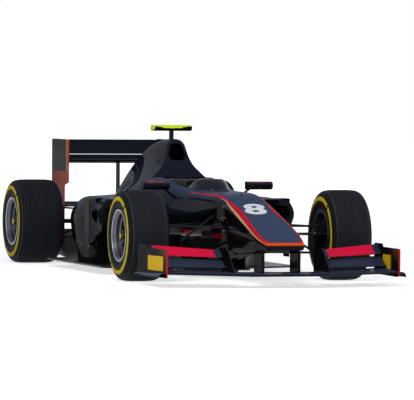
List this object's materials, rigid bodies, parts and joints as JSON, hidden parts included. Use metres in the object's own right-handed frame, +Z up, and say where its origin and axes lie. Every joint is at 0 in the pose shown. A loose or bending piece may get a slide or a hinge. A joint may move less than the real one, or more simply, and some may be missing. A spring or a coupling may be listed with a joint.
{
  "type": "open wheel racing car",
  "caption": "Single-seat open wheel racing car with winged nose, sidepods, airbox and rear wing; its wheels roll and the front pair steers with the rack and steering wheel.",
  "frame": {"origin": "on the ground, on the centre plane, at mid length", "axes": "the car faces -Y, its left side is +X, +Z is up"},
  "size_m": [1.8, 5.0656, 1.084],
  "materials": {
    "body_black": "gloss black paint",
    "wing_red": "gloss red paint",
    "carbon": "satin carbon fibre",
    "tyre": "matte rubber",
    "rim": "satin metal",
    "steel": "machined",
    "cast": "cast metal",
    "endplate": "painted",
    "pod": "fluorescent paint",
    "lamp": "clear red lens",
    "pad": "foam pad",
    "screen": "tinted clear",
    "wood": "laminated board"
  },
  "bodies": {
    "car": {"nose_cone": "body_black", "front_wing_main_plane": "carbon", "front_wing_lower_flaps": "carbon", "front_wing_upper_flaps": "wing_red", "front_wing_endplates": "carbon", "monocoque": "body_black", "windscreen": "screen", "seat": "pad", "headrest": "pad", "engine_cover": "body_black", "camera_pod": "pod", "sidepod_left": "body_black", "sidepod_right": "body_black", "radiators": "carbon", "mirrors": "body_black", "floor": "carbon", "plank": "wood", "diffuser": "carbon", "bargeboards": "carbon", "engine": "cast", "gearbox": "cast", "crash_structure": "carbon", "rain_light": "lamp", "front_wishbones": "carbon", "front_pushrods": "carbon", "rack_housing": "cast", "rear_uprights": "cast", "rear_wishbones": "carbon", "rear_links": "carbon", "rear_wing_main_plane": "carbon", "rear_wing_flap": "carbon", "rear_wing_endplates": "endplate", "beam_wing": "carbon"},
    "front_left_upright": {"front_upright_left": "cast"},
    "front_right_upright": {"front_upright_right": "cast"},
    "front_left_wheel": {"front_tyre_left": "tyre", "front_rim_left": "rim", "front_brake_disc_left": "steel"},
    "front_right_wheel": {"front_tyre_right": "tyre", "front_rim_right": "rim", "front_brake_disc_right": "steel"},
    "rear_left_wheel": {"rear_tyre_left": "tyre", "rear_rim_left": "rim", "rear_brake_disc_left": "steel", "driveshaft_left": "steel"},
    "rear_right_wheel": {"rear_tyre_right": "tyre", "rear_rim_right": "rim", "rear_brake_disc_right": "steel", "driveshaft_right": "steel"},
    "rack": {"steering_rack": "steel"},
    "wheel_and_column": {"steering_wheel": "carbon"}
  },
  "joints": [
    {"name": "steer_left", "type": "hinge", "parent": "car", "child": "front_left_upright", "pos_m": [0.607, -1.3425, 0.195], "axis": [-0.1045, 0.0523, 0.9931], "range_deg": [-15, 15]},
    {"name": "steer_right", "type": "hinge", "parent": "car", "child": "front_right_upright", "pos_m": [-0.607, -1.3425, 0.195], "axis": [0.1045, 0.0523, 0.9931], "range_deg": [-15, 15]},
    {"name": "rack_slide", "type": "slide", "parent": "car", "child": "rack", "axis": [1, 0, 0], "range_m": [-0.029, 0.029]},
    {"name": "steering_wheel_turn", "type": "hinge", "parent": "car", "child": "wheel_and_column", "pos_m": [0, -0.4075, 0.612], "axis": [0, 0.9659, 0.2588], "range_deg": [-151, 151]},
    {"name": "front_left_spin", "type": "hinge", "parent": "front_left_upright", "child": "front_left_wheel", "pos_m": [0.7475, -1.3425, 0.3225], "axis": [1, 0, 0], "continuous": true},
    {"name": "front_right_spin", "type": "hinge", "parent": "front_right_upright", "child": "front_right_wheel", "pos_m": [-0.7475, -1.3425, 0.3225], "axis": [1, 0, 0], "continuous": true},
    {"name": "rear_left_spin", "type": "hinge", "parent": "car", "child": "rear_left_wheel", "pos_m": [0.705, 1.7775, 0.3225], "axis": [1, 0, 0], "continuous": true},
    {"name": "rear_right_spin", "type": "hinge", "parent": "car", "child": "rear_right_wheel", "pos_m": [-0.705, 1.7775, 0.3225], "axis": [1, 0, 0], "continuous": true}
  ],
  "couplings": [
    {"joint": "steer_right", "follows": "steer_left", "ratio": 1},
    {"joint": "rack_slide", "follows": "steer_left", "m_per_rad": -0.11},
    {"joint": "steering_wheel_turn", "follows": "steer_left", "ratio": 10}
  ]
}
